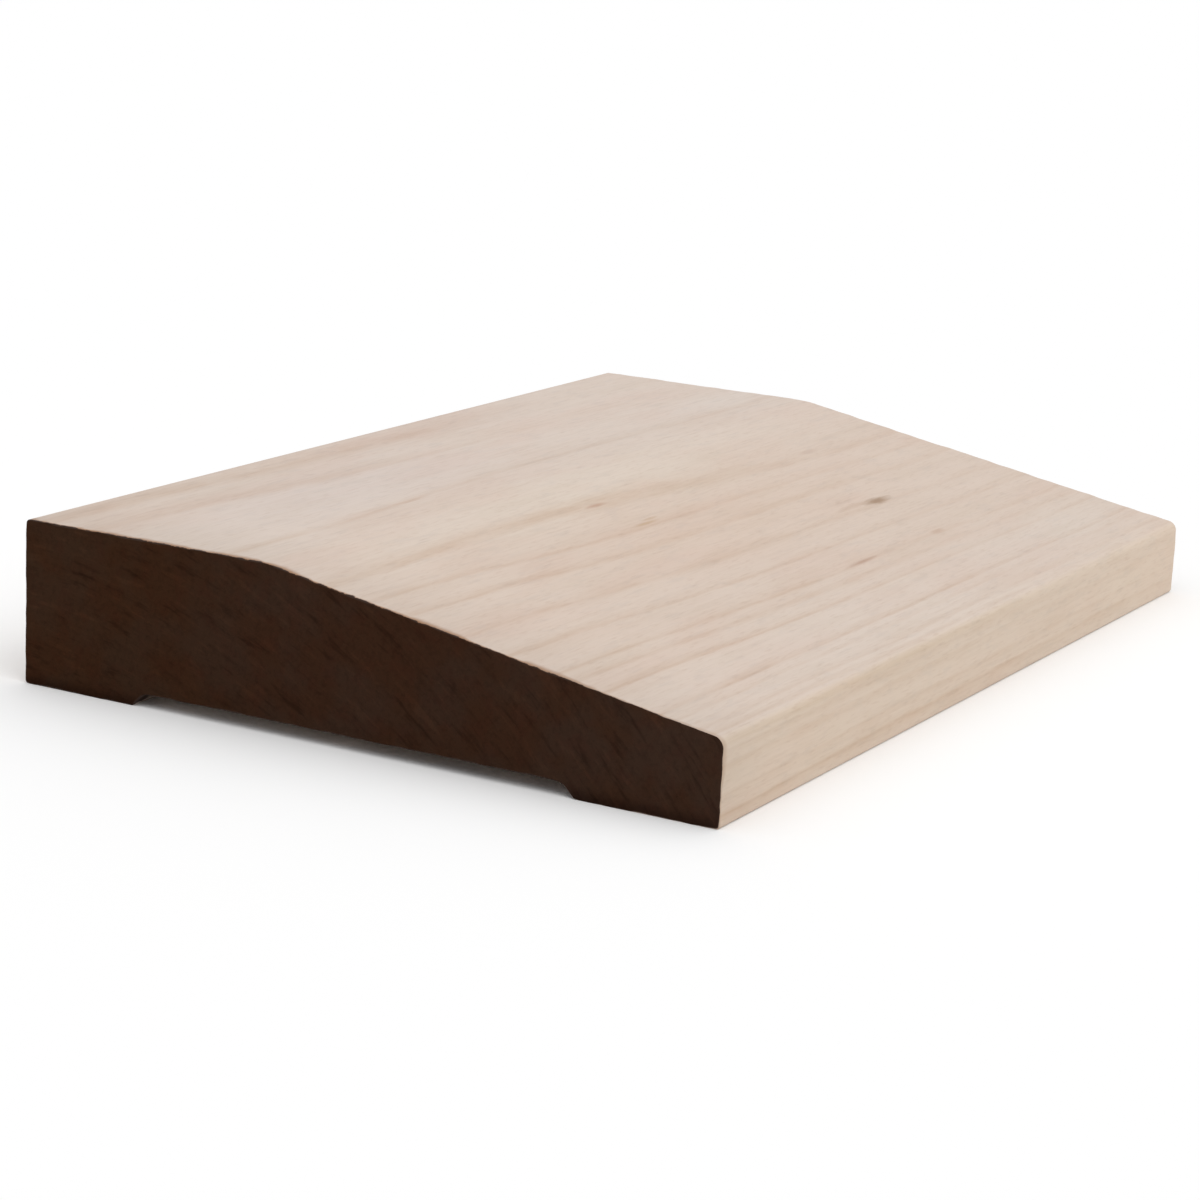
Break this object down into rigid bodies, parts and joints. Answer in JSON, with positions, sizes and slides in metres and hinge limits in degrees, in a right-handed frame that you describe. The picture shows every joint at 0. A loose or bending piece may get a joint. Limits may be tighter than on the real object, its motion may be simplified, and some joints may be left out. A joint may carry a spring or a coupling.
{
  "type": "bevelled casing moulding",
  "caption": "Short length of solid pale hardwood casing with a flat and a long bevel on its face, a rounded thin edge, a relieved back and one end stained dark brown.",
  "frame": {"origin": "on the plane that the two feet of the back stand on, under the middle of the bounding box", "axes": "+Y along the length, from the stained end towards the bare end; +X across the width, from the thick outer edge towards the thin edge; +Z out of the back, towards the face"},
  "size_m": [0.0888, 0.1334, 0.0191],
  "materials": {
    "pale_hardwood": "planed and sanded bare wood, with a dark brown stain on the near cut end only"
  },
  "bodies": {
    "root": {"casing_moulding": "pale_hardwood"}
  },
  "joints": []
}
